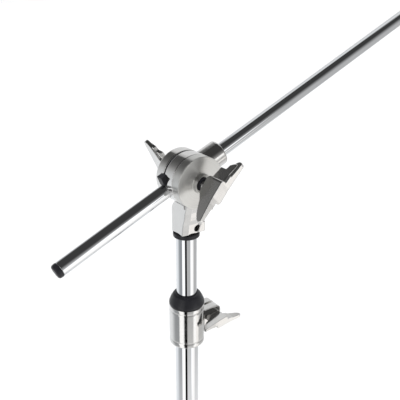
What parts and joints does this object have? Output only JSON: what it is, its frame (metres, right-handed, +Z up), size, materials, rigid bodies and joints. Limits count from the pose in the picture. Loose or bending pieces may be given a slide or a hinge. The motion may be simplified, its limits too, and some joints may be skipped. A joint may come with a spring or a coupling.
{
  "type": "cymbal boom stand",
  "caption": "Cymbal stand with a folding tripod, telescoping chrome tubes, a tilting disc clamp with wing screws, a sliding boom arm and a felted cymbal tilter.",
  "frame": {"origin": "on the floor, under the middle of the stand's bounding box", "axes": "+Z up; the boom lies in the XZ plane and rises towards +X; the tilt clamp's front face looks towards -Y"},
  "size_m": [0.574, 0.5452, 1.0075],
  "materials": {
    "chrome": "mirror-bright chrome plate",
    "satin_metal": "satin nickel-plated casting",
    "steel": "turned steel",
    "black_plastic": "fine satin",
    "rubber": "moulded matt",
    "felt": "pressed wool felt"
  },
  "bodies": {
    "stand_base": {"base_tube": "chrome", "base_end_plug": "black_plastic", "brace_hub": "satin_metal", "brace_pivot_pin_1": "steel", "brace_pivot_pin_2": "steel", "brace_pivot_pin_3": "steel", "lower_clamp_body": "satin_metal", "lower_clamp_bush": "black_plastic", "lower_clamp_nut": "steel"},
    "lower_clamp_wing_screw": {"lower_clamp_wing_screw": "satin_metal"},
    "leg_collar": {"leg_collar": "satin_metal", "leg_pivot_pin_1": "steel", "leg_pivot_pin_2": "steel", "leg_pivot_pin_3": "steel"},
    "leg_collar_wing_screw": {"leg_collar_wing_screw": "satin_metal"},
    "leg_1": {"leg_1": "chrome", "rubber_foot_1": "rubber"},
    "brace_1": {"brace_1": "chrome", "brace_end_pin_1": "steel"},
    "leg_2": {"leg_2": "chrome", "rubber_foot_2": "rubber"},
    "brace_2": {"brace_2": "chrome", "brace_end_pin_2": "steel"},
    "leg_3": {"leg_3": "chrome", "rubber_foot_3": "rubber"},
    "brace_3": {"brace_3": "chrome", "brace_end_pin_3": "steel"},
    "mid_tube_guide": {"mid_tube_guide": "black_plastic"},
    "mid_tube": {"mid_tube": "chrome", "upper_clamp_body": "satin_metal", "upper_clamp_bush": "black_plastic", "upper_clamp_nut": "steel"},
    "upper_clamp_wing_screw": {"upper_clamp_wing_screw": "satin_metal"},
    "upper_tube_guide": {"upper_tube_guide": "black_plastic"},
    "upper_tube": {"upper_tube": "chrome", "neck_ring": "black_plastic", "tilt_bracket": "satin_metal", "bracket_set_screw": "steel", "tilt_washer": "black_plastic"},
    "tilt_wing_screw": {"tilt_wing_screw": "satin_metal"},
    "boom_clamp": {"boom_clamp_front": "satin_metal", "boom_clamp_rear": "satin_metal", "boom_liner": "black_plastic", "boom_eye_bolt": "steel"},
    "boom_wing_nut": {"boom_wing_nut": "satin_metal"},
    "boom": {"boom_tube": "chrome", "boom_end_cap": "black_plastic"},
    "tilter_body": {"tilter_body": "satin_metal"},
    "tilter_head": {"tilter_head": "satin_metal", "cymbal_rod": "steel", "cup_washer": "chrome", "cymbal_sleeve": "black_plastic", "lower_felt": "felt", "upper_felt": "felt"},
    "tilter_wing_screw": {"tilter_wing_screw": "satin_metal"},
    "cymbal_wing_nut": {"cymbal_wing_nut": "satin_metal"}
  },
  "joints": [
    {"name": "leg_fold", "type": "slide", "parent": "stand_base", "child": "leg_collar", "axis": [0, 0, 1], "range_m": [0, 0.138]},
    {"name": "leg_1_turn", "type": "hinge", "parent": "leg_collar", "child": "leg_1", "pos_m": [-0.09054, 0, 0.23852], "axis": [0, 1, 0], "range_deg": [0, 46]},
    {"name": "brace_1_turn", "type": "hinge", "parent": "stand_base", "child": "brace_1", "pos_m": [-0.09054, 0, 0.06], "axis": [0, -1, 0], "range_deg": [0, 57.39]},
    {"name": "leg_2_turn", "type": "hinge", "parent": "leg_collar", "child": "leg_2", "pos_m": [-0.13554, 0.02598, 0.23852], "axis": [-0.866, -0.5, 0], "range_deg": [0, 46]},
    {"name": "brace_2_turn", "type": "hinge", "parent": "stand_base", "child": "brace_2", "pos_m": [-0.13554, 0.02598, 0.06], "axis": [0.866, 0.5, 0], "range_deg": [0, 57.39]},
    {"name": "leg_3_turn", "type": "hinge", "parent": "leg_collar", "child": "leg_3", "pos_m": [-0.13554, -0.02598, 0.23852], "axis": [0.866, -0.5, 0], "range_deg": [0, 46]},
    {"name": "brace_3_turn", "type": "hinge", "parent": "stand_base", "child": "brace_3", "pos_m": [-0.13554, -0.02598, 0.06], "axis": [-0.866, 0.5, 0], "range_deg": [0, 57.39]},
    {"name": "collar_screw_turn", "type": "hinge", "parent": "leg_collar", "child": "leg_collar_wing_screw", "pos_m": [-0.10754, 0.02252, 0.24052], "axis": [0.5, 0.866, 0], "continuous": true},
    {"name": "lower_clamp_screw_turn", "type": "hinge", "parent": "stand_base", "child": "lower_clamp_wing_screw", "pos_m": [-0.09204, 0, 0.4205], "axis": [0, -1, 0], "continuous": true},
    {"name": "mid_height", "type": "slide", "parent": "stand_base", "child": "mid_tube_guide", "axis": [0, 0, 1], "range_m": [-0.12, 0.13]},
    {"name": "mid_swivel", "type": "hinge", "parent": "mid_tube_guide", "child": "mid_tube", "pos_m": [-0.12054, 0, 0.6], "axis": [0, 0, 1], "continuous": true},
    {"name": "upper_clamp_screw_turn", "type": "hinge", "parent": "mid_tube", "child": "upper_clamp_wing_screw", "pos_m": [-0.09444, 0, 0.60275], "axis": [0, -1, 0], "continuous": true},
    {"name": "upper_height", "type": "slide", "parent": "mid_tube", "child": "upper_tube_guide", "axis": [0, 0, 1], "range_m": [-0.055, 0.16]},
    {"name": "upper_swivel", "type": "hinge", "parent": "upper_tube_guide", "child": "upper_tube", "pos_m": [-0.12054, 0, 0.69], "axis": [0, 0, 1], "continuous": true},
    {"name": "boom_tilt", "type": "hinge", "parent": "upper_tube", "child": "boom_clamp", "pos_m": [-0.12054, 0, 0.75], "axis": [0, -1, 0], "range_deg": [-56, 24]},
    {"name": "tilt_screw_turn", "type": "hinge", "parent": "upper_tube", "child": "tilt_wing_screw", "pos_m": [-0.12054, -0.03, 0.75], "axis": [0, -1, 0], "continuous": true},
    {"name": "boom_nut_turn", "type": "hinge", "parent": "boom_clamp", "child": "boom_wing_nut", "pos_m": [-0.12054, 0.02, 0.75], "axis": [0, 1, 0], "continuous": true},
    {"name": "boom_reach", "type": "slide", "parent": "boom_clamp", "child": "boom", "axis": [0.9191, 0, 0.3939], "range_m": [-0.32, 0.1]},
    {"name": "tilter_turn", "type": "hinge", "parent": "boom", "child": "tilter_body", "pos_m": [0.23792, 0.00025, 0.90364], "axis": [0.9191, 0, 0.3939], "continuous": true},
    {"name": "cymbal_tilt", "type": "hinge", "parent": "tilter_body", "child": "tilter_head", "pos_m": [0.2655, 0.00025, 0.91546], "axis": [0, -1, 0], "range_deg": [-70, 38]},
    {"name": "tilter_screw_turn", "type": "hinge", "parent": "tilter_body", "child": "tilter_wing_screw", "pos_m": [0.2655, -0.01, 0.91546], "axis": [0, -1, 0], "continuous": true},
    {"name": "cymbal_nut_turn", "type": "hinge", "parent": "tilter_head", "child": "cymbal_wing_nut", "pos_m": [0.2655, 0.00025, 0.98546], "axis": [0, 0, 1], "continuous": true}
  ],
  "couplings": [
    {"joint": "leg_1_turn", "follows": "leg_fold", "rad_per_m": 5.8177},
    {"joint": "brace_1_turn", "follows": "leg_fold", "rad_per_m": 7.258},
    {"joint": "leg_2_turn", "follows": "leg_fold", "rad_per_m": 5.8177},
    {"joint": "brace_2_turn", "follows": "leg_fold", "rad_per_m": 7.258},
    {"joint": "leg_3_turn", "follows": "leg_fold", "rad_per_m": 5.8177},
    {"joint": "brace_3_turn", "follows": "leg_fold", "rad_per_m": 7.258}
  ]
}
